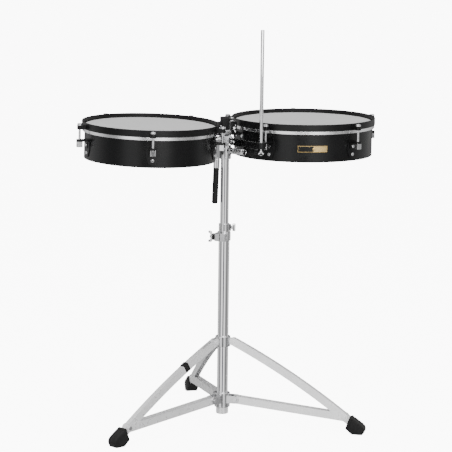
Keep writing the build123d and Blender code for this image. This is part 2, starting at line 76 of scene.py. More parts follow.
# ---------------------------------------------------------------- shader nodes
class Shader:
    """Node tree of a material or world, emptied and given its output node."""

    def __init__(self, owner, output):
        owner.use_nodes = True
        self.tree = owner.node_tree
        self.tree.nodes.clear()
        self.output = self.node(output)

    def feed(self, node, values):
        """Link or set the inputs of a node; colours are given without alpha."""
        for key, value in values.items():
            socket = node.inputs[key]
            if isinstance(value, bpy.types.NodeSocket):
                self.tree.links.new(value, socket)
            elif socket.type == "RGBA":
                socket.default_value = (*value, 1)
            else:
                socket.default_value = value

    def node(self, kind, values=None, **properties):
        node = self.tree.nodes.new(kind)
        for key, value in properties.items():
            setattr(node, key, value)
        self.feed(node, values or {})
        return node

    def calc(self, operation, first, second, clamp=False):
        return self.node("ShaderNodeMath", {0: first, 1: second},
                         operation=operation, use_clamp=clamp).outputs[0]

    def add(self, first, second, clamp=False):
        return self.calc("ADD", first, second, clamp)

    def mul(self, first, second, clamp=False):
        return self.calc("MULTIPLY", first, second, clamp)

    def centred(self, value):
        """Shift a 0 to 1 value to lie about zero."""
        return self.calc("SUBTRACT", value, 0.5)

    def ramp(self, source, stops):
        """Grey ramp through (position, value) stops."""
        node = self.node("ShaderNodeValToRGB", {"Fac": source})
        elements = node.color_ramp.elements
        while len(elements) < len(stops):
            elements.new(0.5)
        for i, (position, grey) in enumerate(stops):
            elements[i].position = position
            elements[i].color = (grey, grey, grey, 1)
        return node.outputs["Color"]

    def mix(self, factor, first, second):
        return self.node("ShaderNodeMix", data_type="RGBA", values={
            0: factor, 6: first, 7: second}).outputs[2]

    def noise(self, vector, scale, detail, rough, distortion=0.0):
        return self.node("ShaderNodeTexNoise", {
            "Vector": vector, "Scale": scale, "Detail": detail,
            "Roughness": rough, "Distortion": distortion}).outputs["Fac"]

    def mapping(self, vector, scale=(1, 1, 1), rotation=(0, 0, 0)):
        return self.node("ShaderNodeMapping", {
            "Vector": vector, "Scale": scale, "Rotation": rotation}).outputs["Vector"]


def surface(name, base, dark, rough, spread, tone_scale, grain, grain_height, metal=0.0,
            grain_rough=0.06, streak=None, edge=None, edge_amount=0.5, edge_radius=0.0005,
            sheen=0.0, specular=0.5, extra=None):
    """One procedural finish.

    base, dark, tone_scale: two tones mixed by broad noise of that scale
    rough, spread, grain_rough: mean roughness, its spread in smudges and in the fine grain
    grain, grain_height: scale and relief of the fine grain
    streak: noise scales along X, Y, Z for drawn streaks
    edge, edge_amount, edge_radius: colour, strength and width (m) of wear on edges
    extra: function that reworks the colour and roughness last
    """
    material = bpy.data.materials.new(name)
    shader = Shader(material, "ShaderNodeOutputMaterial")
    add, mul = shader.add, shader.mul
    principled = shader.node("ShaderNodeBsdfPrincipled")
    shader.feed(shader.output, {0: principled.outputs[0]})
    coords = shader.node("ShaderNodeTexCoord").outputs["Object"]
    broad = shader.noise(coords, tone_scale, detail=4.0, rough=0.6, distortion=0.3)
    fine = shader.noise(coords, grain, detail=2.0, rough=0.5)
    colour = shader.mix(shader.ramp(broad, [(0.3, 0.0), (0.72, 1.0)]), dark, base)

    # smudges and handling marks in the roughness
    smudge = shader.noise(coords, tone_scale * 4.3, detail=6.0, rough=0.62, distortion=0.8)
    smudge = mul(shader.ramp(smudge, [(0.35, 0.0), (0.7, 1.0)]), spread)
    roughness = add(smudge, rough - spread * 0.5)
    roughness = add(roughness, mul(shader.centred(fine), grain_rough))
    height = mul(fine, grain_height)

    if streak:
        lines = shader.noise(shader.mapping(coords, streak), 1.0, detail=3.0, rough=0.7)
        height = add(height, mul(lines, grain_height * 1.5))
        amount = mul(shader.ramp(lines, [(0.35, 0.0), (0.65, 1.0)]), 0.16)
        colour = shader.mix(amount, colour, tuple(c * 0.7 for c in base))
        roughness = add(roughness, mul(shader.centred(lines), 0.10))

    rounding = shader.node("ShaderNodeBevel", {"Radius": edge_radius}, samples=4).outputs[0]
    if edge is not None:
        # wear shows where the rounded normal leaves the true one, broken up by noise
        normal = shader.node("ShaderNodeNewGeometry").outputs["Normal"]
        facing = shader.node("ShaderNodeVectorMath", {0: rounding, 1: normal},
                             operation="DOT_PRODUCT").outputs["Value"]
        wear = mul(shader.calc("SUBTRACT", 1.0, facing, clamp=True), 6.0, clamp=True)
        patches = shader.noise(coords, 160.0, detail=5.0, rough=0.7)
        patches = shader.ramp(patches, [(0.42, 0.0), (0.62, 1.0)])
        wear = mul(mul(wear, patches), edge_amount, clamp=True)
        colour = shader.mix(wear, colour, edge)
        roughness = add(roughness, mul(wear, 0.08), clamp=True)

    bump = shader.node("ShaderNodeBump", {
        "Strength": 1.0, "Distance": 0.0004, "Height": height, "Normal": rounding})
    if extra:
        colour, roughness = extra(shader, coords, colour, roughness)
    shader.feed(principled, {
        "Base Color": colour, "Roughness": roughness, "Normal": bump.outputs[0],
        "Metallic": metal, "Coat Roughness": 0.12,
        "Specular IOR Level": specular, "Sheen Weight": sheen})
    material.diffuse_color = (*base, 1)
    return material


def turned(shader, coords, colour, roughness):
    """Fine turned lines round the hoop."""
    stretched = shader.mapping(coords, scale=(3.0, 3.0, 2600.0))
    lines = shader.noise(stretched, 1.0, detail=2.0, rough=0.6)
    colour = shader.mix(shader.mul(lines, 0.25), colour, (0.55, 0.55, 0.56))
    return colour, shader.add(roughness, shader.mul(shader.centred(lines), 0.18))


def skin_finish(name, centre_x):
    """White skin with stick marks and haze over its middle, and a painted reflection of the black
    hoop that greys the rim.
    """
    def marks_and_hoop_reflection(shader, coords, colour, roughness):
        offset = shader.node("ShaderNodeVectorMath", {0: coords, 1: place(centre_x, 0, 780)},
                             operation="SUBTRACT").outputs[0]
        distance = shader.node("ShaderNodeVectorMath", {0: offset},
                               operation="LENGTH").outputs["Value"]
        reach = 5.6     # brings the distance in metres to about 1 at the rim
        haze = shader.ramp(shader.mul(distance, reach), [(0.0, 1.0), (0.55, 0.55), (0.9, 0.0)])
        marks = shader.noise(coords, 90.0, detail=6.0, rough=0.75, distortion=1.2)
        marks = shader.ramp(marks, [(0.5, 0.0), (0.74, 1.0)])
        amount = shader.mul(shader.mul(haze, marks), 0.16)
        # painted reflection and shade of the black hoop: the skin is greyed in a ring near its rim
        rim = shader.ramp(shader.mul(distance, reach), [(0.86, 0.0), (0.93, 1.0)])
        colour = shader.mix(amount, colour, (0.42, 0.42, 0.41))
        colour = shader.mix(shader.mul(rim, 0.2), colour, (0.5, 0.5, 0.5))
        return colour, shader.add(roughness, shader.mul(amount, 0.5), clamp=True)

    return surface(name, base=(0.60, 0.60, 0.60), dark=(0.565, 0.565, 0.565), rough=0.48,
                   spread=0.10, tone_scale=5.0, grain=2200.0, grain_height=0.05,
                   extra=marks_and_hoop_reflection, specular=0.35)


FINISH = {
    "black_shell": surface(
        "lacquer_black", base=(0.0050, 0.0050, 0.0053), dark=(0.0034, 0.0034, 0.0036),
        rough=0.27, spread=0.08, tone_scale=9.0, grain=1300.0, grain_height=0.015,
        edge=(0.03, 0.03, 0.031), edge_amount=0.3, specular=0.22, grain_rough=0.03,
        edge_radius=0.0003),
    "black_hoop": surface(
        "powder_black", base=(0.0055, 0.0055, 0.0058), dark=(0.0038, 0.0038, 0.0040),
        rough=0.34, spread=0.10, tone_scale=12.0, grain=2600.0, grain_height=0.04,
        edge=(0.03, 0.03, 0.031), edge_amount=0.4, specular=0.18, grain_rough=0.04,
        edge_radius=0.0003),
    "black_bracket": surface(
        "bracket_black", base=(0.0060, 0.0060, 0.0063), dark=(0.0040, 0.0040, 0.0043),
        rough=0.32, spread=0.10, tone_scale=26.0, grain=2400.0, grain_height=0.05,
        edge=(0.04, 0.04, 0.041), edge_amount=0.4, specular=0.2, grain_rough=0.04,
        edge_radius=0.0003),
    "chrome": surface(
        "chrome_plate", base=(0.86, 0.86, 0.87), dark=(0.80, 0.80, 0.81), metal=1.0,
        rough=0.08, spread=0.06, tone_scale=18.0, grain=1800.0, grain_height=0.006,
        streak=(900.0, 900.0, 12.0), edge=(0.92, 0.92, 0.92), edge_amount=0.4,
        grain_rough=0.02, edge_radius=0.0004),
    "satin_steel": surface(
        "satin_steel", base=(0.90, 0.90, 0.905), dark=(0.82, 0.82, 0.825), metal=0.50,
        rough=0.32, spread=0.12, tone_scale=16.0, grain=1500.0, grain_height=0.02,
        streak=(260.0, 260.0, 40.0), edge=(0.88, 0.88, 0.88)),
    "cast_grey": surface(
        "cast_satin", base=(0.64, 0.64, 0.65), dark=(0.50, 0.50, 0.51), metal=0.95,
        rough=0.17, spread=0.14, tone_scale=40.0, grain=900.0, grain_height=0.05,
        edge=(0.88, 0.88, 0.88), edge_amount=0.7, edge_radius=0.0008),
    "hoop_alloy": surface(
        "bright_alloy", base=(0.90, 0.90, 0.905), dark=(0.84, 0.84, 0.85), metal=1.0,
        rough=0.24, spread=0.08, tone_scale=20.0, grain=1500.0, grain_height=0.01,
        extra=turned),
    "black_rubber": surface(
        "moulded_rubber", base=(0.0075, 0.0075, 0.0076), dark=(0.0050, 0.0050, 0.0051),
        rough=0.60, spread=0.16, tone_scale=30.0, grain=1400.0, grain_height=0.20,
        edge=(0.03, 0.03, 0.03), sheen=0.02, specular=0.2),
    "black_nylon": surface(
        "moulded_nylon", base=(0.0070, 0.0070, 0.0072), dark=(0.0046, 0.0046, 0.0048),
        rough=0.42, spread=0.12, tone_scale=40.0, grain=1700.0, grain_height=0.12,
        edge=(0.04, 0.04, 0.04), specular=0.22),
    "skin_left": skin_finish("skin_small", SMALL_X),
    "skin_right": skin_finish("skin_large", LARGE_X),
    "brass": surface(
        "badge_gold", base=(0.56, 0.40, 0.17), dark=(0.42, 0.29, 0.11), metal=1.0,
        rough=0.30, spread=0.14, tone_scale=60.0, grain=1500.0, grain_height=0.03,
        streak=(40.0, 40.0, 1500.0), edge=(0.75, 0.58, 0.30), edge_amount=0.7),
    "badge_black": surface(
        "badge_black", base=(0.006, 0.0058, 0.0054), dark=(0.004, 0.004, 0.0036),
        rough=0.30, spread=0.10, tone_scale=60.0, grain=1800.0, grain_height=0.01,
        specular=0.2, grain_rough=0.02, edge_radius=0.0002),
    "chrome_small": surface(
        "chrome_fittings", base=(0.78, 0.78, 0.79), dark=(0.62, 0.62, 0.63), metal=1.0,
        rough=0.13, spread=0.10, tone_scale=60.0, grain=1500.0, grain_height=0.02,
        edge=(0.92, 0.92, 0.92), edge_amount=0.6, grain_rough=0.04, edge_radius=0.0006),
}

# ---------------------------------------------------------------- finishes of the CAD pieces
NODE_SLOT = {part["node"]: part["material_slot"] for part in RECORD["subparts"]}
SMALL_FITTINGS = ("tension", "lug_screws", "bracket_screws", "collar_pins", "hub_pins", "rivet",
                  "top_screw", "mount_nuts", "arm_screws", "tilt_bolt", "cowbell_arm")
for node, piece in frame["nodes"].items():
    finish = NODE_SLOT.get(node, "chrome")
    if finish == "head_film":
        finish = "skin_left" if node.endswith("left") else "skin_right"
    elif finish == "badge_plate":
        finish = "brass"
    elif finish == "chrome" and node.startswith(SMALL_FITTINGS):
        finish = "chrome_small"
    piece.data.materials.clear()
    piece.data.materials.append(FINISH[finish])


# ---------------------------------------------------------------- mesh helpers
# A part is (vertices, faces) in millimetres.
def build(name, part, finishes, node, matrix=Matrix(), angle=32.0, second=(),
          replace=True):
    """Make an object that rides with a CAD node and replaces it unless told otherwise.

    Faces listed in second take the second finish; edges sharper than angle stay sharp.
    """
    vertices, faces = part
    mesh = bpy.data.meshes.new(name)
    mesh.from_pydata([tuple(Vector(v) * MILLI) for v in vertices], [], faces)
    for finish in finishes:
        mesh.materials.append(FINISH[finish])
    for i in second:
        mesh.polygons[i].material_index = 1
    work = bmesh.new()
    work.from_mesh(mesh)
    bmesh.ops.remove_doubles(work, verts=work.verts, dist=1e-7)
    bmesh.ops.recalc_face_normals(work, faces=work.faces)
    work.to_mesh(mesh)
    work.free()
    mesh.polygons.foreach_set("use_smooth", [True] * len(mesh.polygons))
    mesh.set_sharp_from_angle(angle=math.radians(angle))
    item = bpy.data.objects.new(name, mesh)
    bpy.context.scene.collection.objects.link(item)
    item.matrix_world = matrix
    if replace:
        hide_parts(node)
    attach(item, NODE_BODY[node])


def lathe(profile, count, ripple=None):
    """Turn an (r, z) profile about Z; ripple(theta, r, z) changes the radius."""
    vertices, faces, rows = [], [], []
    for r, z in profile:
        start = len(vertices)
        if r < 1e-6:
            vertices.append((0, 0, z))
        else:
            for k in range(count):
                theta = 2 * math.pi * k / count
                radius = ripple(theta, r, z) if ripple else r
                vertices.append((radius * math.cos(theta), radius * math.sin(theta), z))
        rows.append(range(start, len(vertices)))
    for row, after in zip(rows, rows[1:]):
        for k in range(count):
            k2 = (k + 1) % count
            if len(row) == 1:
                faces.append((row[0], after[k2], after[k]))
            elif len(after) == 1:
                faces.append((row[k], row[k2], after[0]))
            else:
                faces.append((row[k], row[k2], after[k2], after[k]))
    return vertices, faces


def loft(rings):
    """Capped skin through rings of equal point counts."""
    count, last = len(rings[0]), len(rings) - 1
    faces = []
    for i in range(last):
        for k in range(count):
            k2 = (k + 1) % count
            near, far = i * count, (i + 1) * count
            faces.append((near + k, near + k2, far + k2, far + k))
    faces.append(tuple(reversed(range(count))))
    faces.append(tuple(range(last * count, (last + 1) * count)))
    return [tuple(point) for ring in rings for point in ring], faces


def join(parts):
    vertices, faces = [], []
    for part_vertices, part_faces in parts:
        start = len(vertices)
        vertices += part_vertices
        faces += [tuple(i + start for i in face) for face in part_faces]
    return vertices, faces


def rounded(half_x, half_y, radius, steps):
    """Rounded rectangle outline, counter-clockwise."""
    x, y = half_x - radius, half_y - radius
    points = []
    for corner_x, corner_y, start in ((x, y, 0), (-x, y, 90), (-x, -y, 180), (x, -y, 270)):
        for k in range(steps + 1):
            turn = math.radians(start + 90.0 * k / steps)
            points.append((corner_x + radius * math.cos(turn), corner_y + radius * math.sin(turn)))
    return points


# ---------------------------------------------------------------- drum skins
SKIN_Z = 779.5


def build_skin(tag, radius, matrix):
    """Thin film, flat on top, that rolls over the shell edge into a short skirt."""
    top, under = SKIN_Z + 0.5, SKIN_Z + 0.02
    profile = [(0, top), (radius * 0.3, top), (radius * 0.6, top), (radius * 0.85, top),
               (radius - 6, top)]
    for k in range(1, 9):
        turn = math.radians(90 - 90 * k / 8)
        profile.append((radius - 3.2 + 4.2 * math.cos(turn), SKIN_Z - 3.2 + 3.7 * math.sin(turn)))
    profile += [(radius + 1.0, 772.0), (radius + 1.0, 765.6), (radius + 0.55, 765.6),
                (radius + 0.55, 775.5), (radius - 1.6, SKIN_Z - 0.35), (radius - 4.5, under),
                (radius * 0.5, under), (0, under)]
    build("skin_" + tag, lathe(profile, 160), ["skin_" + tag], "head_" + tag, matrix)


# the smaller drum leans a hair on its bracket
lean_point = place(-38, 0, 745)
lean = (Matrix.Translation(lean_point) @ Matrix.Rotation(math.radians(0.9), 4, "X")
        @ Matrix.Rotation(math.radians(1.0), 4, "Y") @ Matrix.Translation(-lean_point))
build_skin("left", SMALL_R, lean @ Matrix.Translation(place(SMALL_X, 0, 0)))
build_skin("right", LARGE_R, Matrix.Translation(place(LARGE_X, 0, 0)))

# ---------------------------------------------------------------- legs
# (distance from the column axis, height) of the two ends of a leg
LEG_TOP, LEG_END = (29.0, 217.0), (326.0, 41.8)
LEG = math.hypot(LEG_END[0] - LEG_TOP[0], LEG_END[1] - LEG_TOP[1])
LEG_OUT, LEG_RISE = (LEG_END[0] - LEG_TOP[0]) / LEG, (LEG_END[1] - LEG_TOP[1]) / LEG
BOW = 8.0                                   # rise of the bowed leg at mid length
BOW_R = (LEG / 2) ** 2 / (2 * BOW) + BOW / 2


def leg_mapper(tag):
    """Direction of a leg's upper side, and a function from leg millimetres to metres.

    The leg frame starts at the top pivot: X along the leg, Y across, Z on the upper side.
    """
    joint = [j for j in RECORD["behaviour"]["joints"] if j["child"] == "leg_" + tag][0]
    heading = math.atan2(joint["pos_m"][1] - COLUMN_Y, joint["pos_m"][0] - COLUMN_X)
    outward = Vector((math.cos(heading), math.sin(heading), 0))
    along = outward * LEG_OUT + Vector((0, 0, LEG_RISE))
    upper = -outward * LEG_RISE + Vector((0, 0, LEG_OUT))
    across = upper.cross(along)
    pivot = place(LEG_TOP[0] * outward.x, LEG_TOP[0] * outward.y, LEG_TOP[1])
    return upper, lambda x, y, z: (pivot + along * (x * MILLI) + across * (y * MILLI)
                                   + upper * (z * MILLI))


# Rubber feet: (distance past the leg end, height) of the upper outline
BOOT_TOP = [(12.0, 11.6), (47.0, 9.6), (53.0, 8.2), (58.0, 5.6), (61.0, 2.4), (62.6, -1.0)]
# (share of the length, share of the width, drop of the top, rise of the bottom)
BOOT_STATIONS = [
    (0.0, 0.80, 2.4, 3.0), (0.012, 0.90, 1.0, 1.2), (0.03, 0.96, 0.3, 0.4), (0.07, 1.0, 0, 0),
    (0.15, 1.0, 0, 0), (0.158, 0.955, 0.7, 0.7), (0.185, 0.955, 0.7, 0.7), (0.193, 1.0, 0, 0),
    (0.35, 1.0, 0, 0), (0.5, 1.0, 0, 0), (0.7, 1.0, 0, 0), (0.82, 0.99, 0, 0),
    (0.90, 0.97, 0, 0), (0.96, 0.92, 0, 0), (0.99, 0.86, 0.4, 0), (1.0, 0.80, 1.2, 0.6)]
BOOT_HALF_WIDTH = 15.0


def interpolate(x, points):
    for (x0, y0), (x1, y1) in zip(points, points[1:]):
        if x <= x1:
            return y0 + (y1 - y0) * (x - x0) / (x1 - x0)
    return points[-1][1]


def build_boot(tag):
    """Rubber foot lofted over the leg end, with a groove and a flat sole."""
    upper, on_leg = leg_mapper(tag)
    rings = []
    for share, width, top_drop, bottom_rise in BOOT_STATIONS:
        top_x, bottom_x = 12.0 + 50.6 * share, 17.0 + 46.0 * share
        top = interpolate(top_x, BOOT_TOP) - top_drop
        bottom = -22.0 - 8.0 * share + bottom_rise
        middle, half = (top + bottom) / 2, (top - bottom) / 2
        ring = []
        for y, z in rounded(BOOT_HALF_WIDTH * width, half, min(2.6, half * 0.5), 6):
            level = (middle + z - bottom) / (top - bottom)
            point = on_leg(LEG + bottom_x + (top_x - bottom_x) * level, y, middle + z)
            if point.z < 0.0:
                # flat sole: the wall stops where it meets the floor
                point = point - upper * (point.z / upper.z)
                point.z = 0.0
            ring.append(point / MILLI)
        rings.append(ring)
    build("boot_" + tag, loft(rings), ["black_rubber"], "foot_" + tag, angle=40.0)


for tag in ("right", "rear", "left"):
    build_boot(tag)

# Bumper clipped over one leg: (distance from its middle, share of the wall thickness)
BUMPER_STATIONS = [
    (-8.0, 0.35), (-7.5, 0.8), (-6.4, 1.0), (-3.0, 1.0), (-2.6, 0.7), (-1.6, 0.7), (-1.2, 1.0),
    (1.2, 1.0), (1.6, 0.7), (2.6, 0.7), (3.0, 1.0), (6.4, 1.0), (7.5, 0.8), (8.0, 0.35)]
BUMPER_X = 0.33 * LEG


def clip_section(wall):
    """Saddle over the leg channel, open below; wall scales its thickness."""
    half, top, radius = 7.04 + 0.54 * wall, 10.04 + 2.5 * wall, 1.6
    turns = (0.3, 0.6, 0.9, 1.2)
    x, y = half - radius, top - radius
    points = [(half, -9.9), (half, y)]
    points += [(x + radius * math.cos(a), y + radius * math.sin(a)) for a in turns]
    points += [(x, top), (-x, top)]
    points += [(-x - radius * math.sin(a), y + radius * math.cos(a)) for a in turns]
    return points + [(-half, y), (-half, -9.9),
                     (-7.02, -9.9), (-7.02, 10.02), (7.02, 10.02), (7.02, -9.9)]


def build_bumper():
    on_leg = leg_mapper("left")[1]
    rings = []
    for offset, wall in BUMPER_STATIONS:
        x = BUMPER_X + offset
        rise = BOW - BOW_R + math.sqrt(BOW_R ** 2 - (x - LEG / 2) ** 2)
        rings.append([on_leg(x, y, rise + z) / MILLI for y, z in clip_section(wall)])
    build("bumper", loft(rings), ["black_rubber"], "leg_bumper", angle=35.0)


build_bumper()

# ---------------------------------------------------------------- grip of the tilt handle
GRIP_PROFILE = [        # (r, z) from the closed end, out and back along the bore
    (0, 0), (4.2, 0), (6.0, 0.8), (7.3, 2.6), (7.85, 5.0), (7.85, 7.0), (7.5, 7.8), (7.5, 9.0),
    (7.8, 10.0), *((7.8, z) for z in range(14, 80, 4)), (7.5, 81.0), (7.5, 82.5), (7.85, 83.5),
    (7.85, 89.0), (7.4, 91.2), (6.6, 92.0), (4.02, 92.0), (4.02, 12.2), (0, 12.2)]


def flutes(theta, r, z):
    """Sixteen shallow flutes on the outside only."""
    return r - (0.28 * max(0.0, math.cos(16 * theta)) if 9 < z < 78 and r > 6 else 0.0)


handle = (Matrix.Translation(place(-21, 0, 740)) @ Matrix.Rotation(math.radians(2.2), 4, "Y")
          @ Matrix.Translation((0, 0, -0.164)))
build("grip", lathe(GRIP_PROFILE, 96, flutes), ["black_rubber"], "handle_grip",
      handle)

# ---------------------------------------------------------------- knurled knob on the socket
KNOB_PROFILE = [        # (r, z) outward from the column axis
    (0, 11.15), (2.6, 11.15), (3.0, 11.6), (3.0, 20.4), (6.6, 20.4), (7.0, 20.8), (7.0, 24.6),
    (7.6, 25.0), (8.0, 25.6), (8.0, 27.6), *((8.0, z) for z in range(29, 56, 3)), (8.0, 57.0),
    (7.5, 57.8), (7.3, 59.0), (8.0, 59.3), (8.4, 60.0), (8.4, 63.2), (7.9, 64.0), (6.2, 64.0),
    (5.6, 63.2), (0, 63.0)]


def knurl(theta, r, z):
    return r - (0.35 * (0.5 + 0.5 * math.cos(28 * theta)) if 28 < z < 56 else 0.0)


build("lock_knob", lathe(KNOB_PROFILE, 168, knurl), ["chrome"], "socket_lock_knob",
      basis(place(0, 0, 712), (0.4592, -0.8883, 0)))


# ---------------------------------------------------------------- wing bolts
def wing_bolt(name, node, origin, axis, shank_r, shank_l, boss_r, boss_l, span, wing_h, thick,
              wings=2, key=False):
    """Turned boss and shank with cast wings, or one plain rectangular key across the boss."""
    parts = [lathe([
        (0, -shank_l), (shank_r * 0.8, -shank_l), (shank_r, -shank_l + 0.6), (shank_r, 0.0),
        (boss_r * 0.92, 0.0), (boss_r, 0.5), (boss_r, boss_l * 0.35),
        (boss_r * 0.86, boss_l * 0.72), (boss_r * 0.62, boss_l * 0.96), (0, boss_l)], 40)]
    top = boss_l + wing_h
    if key:
        side = [(span * 0.86, boss_l * 0.5), (span * 0.96, boss_l * 0.7), (span, boss_l),
                (span, top - 1.6), (span * 0.96, top - 0.6), (span * 0.86, top)]
        outline = side + [(-x, z) for x, z in reversed(side)]
    else:
        outline = [
            (boss_r * 0.35, boss_l * 0.18), (boss_r * 0.95, boss_l * 0.16),
            (span * 0.80, boss_l * 0.38), (span * 0.97, boss_l * 0.62),
            (span * 0.995, top - (top - boss_l * 0.6) * 0.35), (span * 0.93, top - 0.7),
            (span * 0.80, top - 0.05), (span * 0.66, top - 0.5), (span * 0.50, boss_l * 0.98),
            (boss_r * 0.7, boss_l * 0.86), (boss_r * 0.35, boss_l * 0.82)]
    # the outline is swept through the thickness, smaller at the two faces
    mid_x = sum(x for x, z in outline) / len(outline)
    mid_z = sum(z for x, z in outline) / len(outline)
    vertices, faces = loft([
        [(mid_x + (x - mid_x) * size, thick * y, mid_z + (z - mid_z) * size) for x, z in outline]
        for y, size in ((-0.5, 0.86), (-0.36, 0.98), (0, 1.0), (0.36, 0.98), (0.5, 0.86))])
    for k in range(wings):
        turn = Matrix.Rotation(2 * math.pi * k / wings, 4, "Z")
        parts.append(([tuple(turn @ Vector(v)) for v in vertices], faces))
    build(name, join(parts), ["chrome_small"], node,
          basis(origin, axis, upright=True), angle=50.0)


height_turn = math.radians(223.7)
east, north = math.cos(height_turn), math.sin(height_turn)
wing_bolt("wing_height", "height_wing_bolt",
          place(22.5 * east + 20.5 * north, 22.5 * north - 20.5 * east, 491), (north, -east, 0),
          shank_r=3.0, shank_l=33.0, boss_r=5.6, boss_l=9.0, span=15.0, wing_h=5.0, thick=3.2)
memory_turn = math.radians(-24.0)
east, north = math.cos(memory_turn), math.sin(memory_turn)
wing_bolt("wing_memory", "memory_lock_bolt",
          place(18.2 * east, 18.2 * north, 513.2), (east, north, 0), shank_r=3.0, shank_l=7.0,
          boss_r=4.6, boss_l=5.0, span=10.0, wing_h=6.0, thick=3.4, wings=1, key=True)
for tag, x in (("left", -20), ("right", 20)):
    wing_bolt("wing_mount_" + tag, "mount_wing_bolt_" + tag, place(x, -7.6, 768), (0, -1, 0),
              shank_r=3.0, shank_l=17.5, boss_r=5.6, boss_l=8.0, span=10.4, wing_h=4.0, thick=3.0)
post_axis = (-0.407, -0.9134, 0)
wing_bolt("wing_post", "post_wing_bolt",
          place(37 + post_axis[0] * 11.4, -137 + post_axis[1] * 11.4, 723.5), post_axis,
          shank_r=2.5, shank_l=6.4, boss_r=4.4, boss_l=6.5, span=8.2, wing_h=1.5, thick=3.0,
          wings=3)

# ---------------------------------------------------------------- badge on the larger drum
BADGE_TURN = math.radians(-108.0)       # heading of its middle from the drum axis
BADGE_HALF_L, BADGE_HALF_H = 37.5, 8.2
BADGE_HALF_TURN = math.asin(BADGE_HALF_L / 178.2)
BADGE_Z = 728.2
RIB_X = 3.0                             # rib between the two fields


def plate_height(u, w):
    """Height over the shell: raised border, recessed field and a rib between the fields."""
    inset = min((u + 1) * BADGE_HALF_L, (1 - u) * BADGE_HALF_L,
                (w + 1) * BADGE_HALF_H, (1 - w) * BADGE_HALF_H)
    if inset < 0.45:
        return 0.25 + inset
    if inset < 1.3:
        return 1.0
    return 0.9 if abs(u * BADGE_HALF_L - RIB_X) < 0.5 else 0.7


def build_badge_plate():
    """Curved plate; u runs along it and w up it, both from -1 to 1."""
    columns = sorted({-1, -0.988, -0.972, -0.962, 0.962, 0.972, 0.988, 1,
                      0.063, 0.0667, 0.0933, 0.097, *(-0.96 + 1.92 * k / 48 for k in range(49))})
    rows = sorted({-1, -0.955, -0.87, -0.83, 0.83, 0.87, 0.955, 1,
                   *(-0.8 + 1.6 * k / 8 for k in range(9))})
    vertices, faces, dark_faces = [], [], []
    for u in columns:
        turn = BADGE_TURN + BADGE_HALF_TURN * u
        for w in rows:
            for height in (plate_height(u, w), 0.02):
                radius = LARGE_R + height
                vertices.append((radius * math.cos(turn), radius * math.sin(turn),
                                 BADGE_Z + w * BADGE_HALF_H))

    def front(i, k):
        return 2 * (i * len(rows) + k)

    def back(i, k):
        return front(i, k) + 1

    last_i, last_k = len(columns) - 1, len(rows) - 1
    for i in range(last_i):
        for k in range(last_k):
            mid_u, mid_w = (columns[i] + columns[i + 1]) / 2, (rows[k] + rows[k + 1]) / 2
            if abs(mid_u) < 0.965 and abs(mid_w) < 0.84 and mid_u < 0.064:
                dark_faces.append(len(faces))
            faces.append((front(i, k), front(i + 1, k), front(i + 1, k + 1), front(i, k + 1)))
            faces.append((back(i, k), back(i, k + 1), back(i + 1, k + 1), back(i + 1, k)))
    for i in range(last_i):
        j = i + 1
        faces.append((front(i, 0), back(i, 0), back(j, 0), front(j, 0)))
        faces.append((front(i, last_k), front(j, last_k), back(j, last_k), back(i, last_k)))
    for k in range(last_k):
        j = k + 1
        faces.append((front(0, k), front(0, j), back(0, j), back(0, k)))
        faces.append((front(last_i, k), back(last_i, k), back(last_i, j), front(last_i, j)))
    build("badge_plate", (vertices, faces), ["brass", "badge_black"], "badge",
          Matrix.Translation(place(LARGE_X, 0, 0)), angle=30.0, second=dark_faces)


build_badge_plate()
# (u, radius): a plain boss where the two fields meet and a rivet at each end
for i, (u, radius) in enumerate(((RIB_X / BADGE_HALF_L, 3.6), (-0.92, 0.9), (0.93, 0.9))):
    turn = BADGE_TURN + BADGE_HALF_TURN * u
    normal = Vector((math.cos(turn), math.sin(turn), 0))
    reach = LARGE_R + 0.6
    dome = lathe([(0, 0.0), (radius, 0.0), (radius, 0.15), (radius * 0.9, 0.4),
                  (radius * 0.6, 0.62), (0, 0.75)], 24)
    build("badge_dome_%d" % i, dome, ["brass"], "badge",
          basis(place(LARGE_X + reach * normal.x, reach * normal.y, BADGE_Z), normal),
          angle=40.0, replace=False)


# ---------------------------------------------------------------- cap on the tilter
def build_cap():
    """Softly rounded block that straddles the cross plate with a skirt on each side."""
    low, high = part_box("tilter_cap")
    middle = (low + high) / 2
    half_x, half_y = (high.x - low.x) / 2 / MILLI, (high.y - low.y) / 2 / MILLI
    bottom, top = low.z / MILLI, high.z / MILLI
    gap = 2.56              # from the middle to the inside of a skirt
    # (height, share of the full outline)
    block = ((786.05, 1.0), (789.0, 1.0), (789.5, 0.95), (790.4, 0.95), (790.9, 1.0),
             (top - 2.4, 1.0), (top - 1.0, 0.95), (top - 0.25, 0.85), (top, 0.72))
    skirt = ((bottom, 0.9), (bottom + 0.5, 0.97), (bottom + 1.4, 1.0), (786.06, 1.0))
    parts = [loft([[(x * size, y * size, z) for x, y in rounded(half_x, half_y, 2.6, 5)]
                   for z, size in block])]
    for side in (-1, 1):
        shift = side * (half_y + gap) / 2
        outline = rounded(half_x, (half_y - gap) / 2, 2.0, 5)
        parts.append(loft([[(x * size, y * size + shift, z) for x, y in outline]
                           for z, size in skirt]))
    build("cap_top", join(parts), ["black_nylon"], "tilter_cap",
          Matrix.Translation(Vector((middle.x, middle.y, 0))), angle=40.0)


build_cap()

# ---------------------------------------------------------------- floor
WHITE_GLOW = 9.0        # floor and backdrop as the camera sees them


